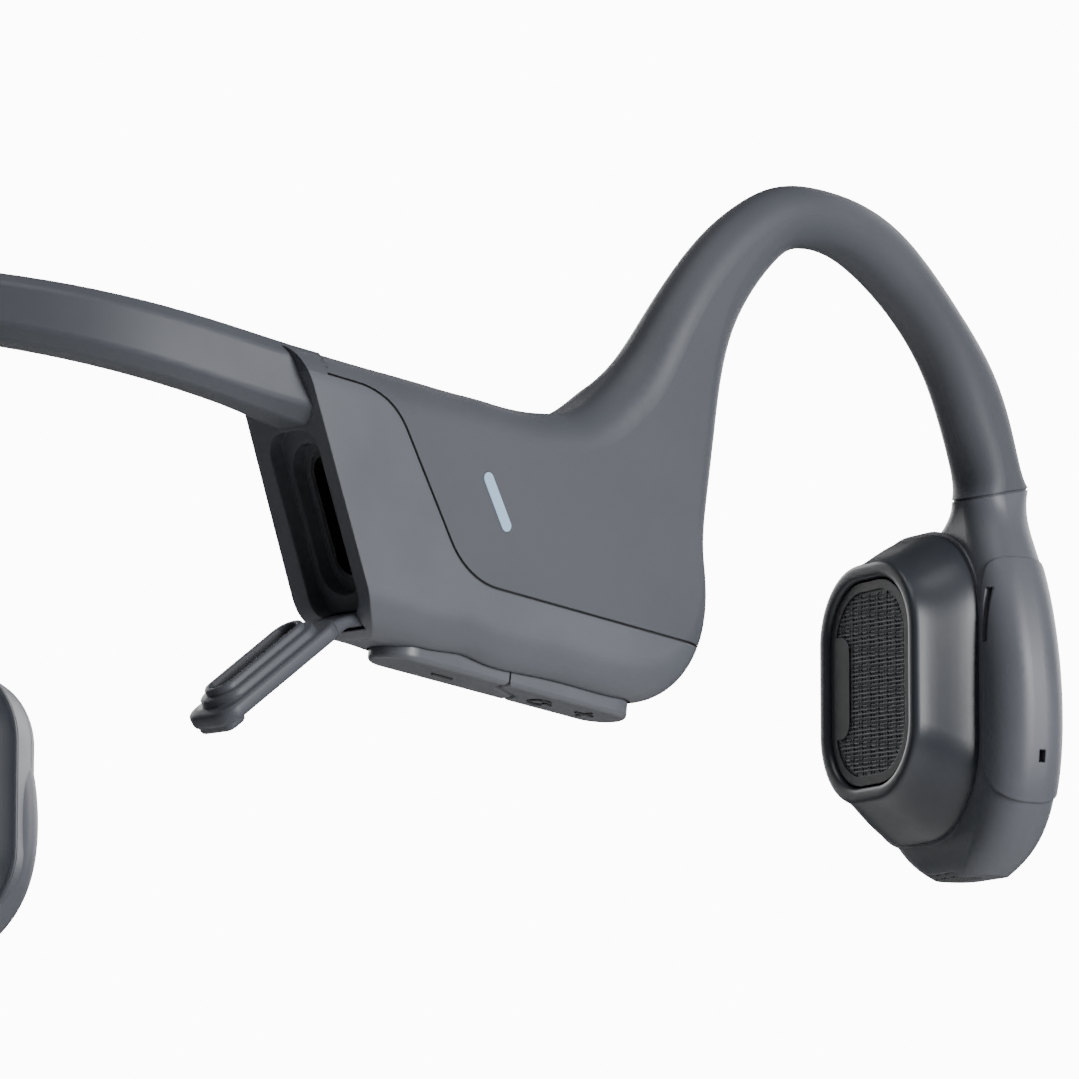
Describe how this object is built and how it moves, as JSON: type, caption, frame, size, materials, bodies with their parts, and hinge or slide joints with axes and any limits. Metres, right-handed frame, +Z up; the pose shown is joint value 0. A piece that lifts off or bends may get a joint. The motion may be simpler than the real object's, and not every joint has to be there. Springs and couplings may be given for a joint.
{
  "type": "bone conduction headphones",
  "caption": "Open-ear bone conduction headphones with a sprung neckband, ear hooks, cushioned pads, keys under one housing and a charging port with a silicone cover",
  "frame": {"origin": "middle of the underside of the whole object", "axes": "+X to the wearer's left, +Y behind the wearer, +Z up as worn"},
  "size_m": [0.1358, 0.1088, 0.0479],
  "materials": {
    "silicone_skin": "matt slate-grey silicone skin",
    "silicone_cushion": "satin dark slate silicone",
    "satin_shell": "satin slate-grey moulded shell",
    "key_plastic": "satin moulded key",
    "pad_plastic": "fine-grained dark moulding",
    "woven_mesh": "fine dark ribbed mesh",
    "spring_metal": "bare nickel-titanium wire",
    "receptacle_steel": "drawn stainless shell",
    "port_plastic": "black moulding",
    "light_pipe": "milky pale blue light guide",
    "seal_rubber": "black sealing bead",
    "cable_jacket": "thin black jacket",
    "circuit_board": "green solder resist",
    "switch_metal": "stamped dome switch",
    "battery_wrap": "foil pouch",
    "coil_copper": "enamelled copper wire",
    "magnet_metal": "nickel-plated magnet",
    "yoke_steel": "pressed soft iron",
    "driver_plastic": "black moulding",
    "microphone_can": "small gilt can"
  },
  "bodies": {
    "headset": {"volume_down_switch": "switch_metal", "volume_up_switch": "switch_metal", "neckband_wire": "spring_metal", "neckband_cable": "cable_jacket", "neckband_cover": "silicone_skin", "main_board": "circuit_board", "key_board": "circuit_board", "usb_receptacle": "receptacle_steel", "usb_tongue": "port_plastic", "port_cover_anchor": "silicone_skin", "led_light_pipe": "light_pipe", "right_hook_cover": "silicone_skin", "right_housing_seal": "seal_rubber", "right_housing_shell": "satin_shell", "right_pod_shell": "satin_shell", "left_hook_wire": "spring_metal", "right_hook_wire": "spring_metal", "left_pod_cushion": "silicone_cushion", "right_pod_cushion": "silicone_cushion", "left_transducer_yoke": "yoke_steel", "right_transducer_yoke": "yoke_steel", "left_transducer_magnet": "magnet_metal", "right_transducer_magnet": "magnet_metal", "left_suspension_spring": "spring_metal", "right_suspension_spring": "spring_metal", "left_air_driver_frame": "driver_plastic", "right_air_driver_frame": "driver_plastic", "left_air_driver_magnet": "magnet_metal", "right_air_driver_magnet": "magnet_metal", "left_bottom_grille": "woven_mesh", "right_bottom_grille": "woven_mesh", "left_vent_mesh": "woven_mesh", "right_vent_mesh": "woven_mesh", "left_microphone": "microphone_can", "right_microphone": "microphone_can", "left_hook_cover": "silicone_skin", "left_housing_seal": "seal_rubber", "left_housing_shell": "satin_shell", "left_pod_shell": "satin_shell", "multifunction_switch": "switch_metal", "battery_cell": "battery_wrap", "battery_board": "circuit_board"},
    "port_flap": {"port_cover": "silicone_skin"},
    "down_key": {"volume_down_button": "key_plastic"},
    "up_key": {"volume_up_button": "key_plastic"},
    "control_key": {"multifunction_button": "key_plastic"},
    "right_pad": {"right_pad_frame": "pad_plastic", "right_pad_mesh": "woven_mesh", "right_voice_coil": "coil_copper"},
    "right_diaphragm": {"right_air_driver_diaphragm": "driver_plastic"},
    "left_pad": {"left_pad_frame": "pad_plastic", "left_pad_mesh": "woven_mesh", "left_voice_coil": "coil_copper"},
    "left_diaphragm": {"left_air_driver_diaphragm": "driver_plastic"}
  },
  "joints": [
    {"name": "port_cover_hinge", "type": "hinge", "parent": "headset", "child": "port_flap", "pos_m": [-0.05827, 0.01582, 0.01246], "axis": [-0.9976, 0.0698, 0], "range_deg": [-106, 10]},
    {"name": "volume_down_press", "type": "slide", "parent": "headset", "child": "down_key", "axis": [-0.0085, -0.1216, 0.9925], "range_m": [0, 0.0003], "stiffness_N_per_m": 2000},
    {"name": "volume_up_press", "type": "slide", "parent": "headset", "child": "up_key", "axis": [-0.0085, -0.1216, 0.9925], "range_m": [0, 0.0003], "stiffness_N_per_m": 2000},
    {"name": "multifunction_press", "type": "slide", "parent": "headset", "child": "control_key", "axis": [-0.309, 0.9511, 0], "range_m": [0, 0.00025], "stiffness_N_per_m": 2000},
    {"name": "right_pad_vibration", "type": "slide", "parent": "headset", "child": "right_pad", "axis": [0.309, 0.9511, 0], "range_m": [-0.00015, 0.00015], "stiffness_N_per_m": 4000},
    {"name": "right_diaphragm_vibration", "type": "slide", "parent": "headset", "child": "right_diaphragm", "axis": [0.309, 0.9511, 0], "range_m": [-0.00015, 0.00015], "stiffness_N_per_m": 500},
    {"name": "left_pad_vibration", "type": "slide", "parent": "headset", "child": "left_pad", "axis": [-0.309, 0.9511, 0], "range_m": [-0.00015, 0.00015], "stiffness_N_per_m": 4000},
    {"name": "left_diaphragm_vibration", "type": "slide", "parent": "headset", "child": "left_diaphragm", "axis": [-0.309, 0.9511, 0], "range_m": [-0.00015, 0.00015], "stiffness_N_per_m": 500}
  ]
}
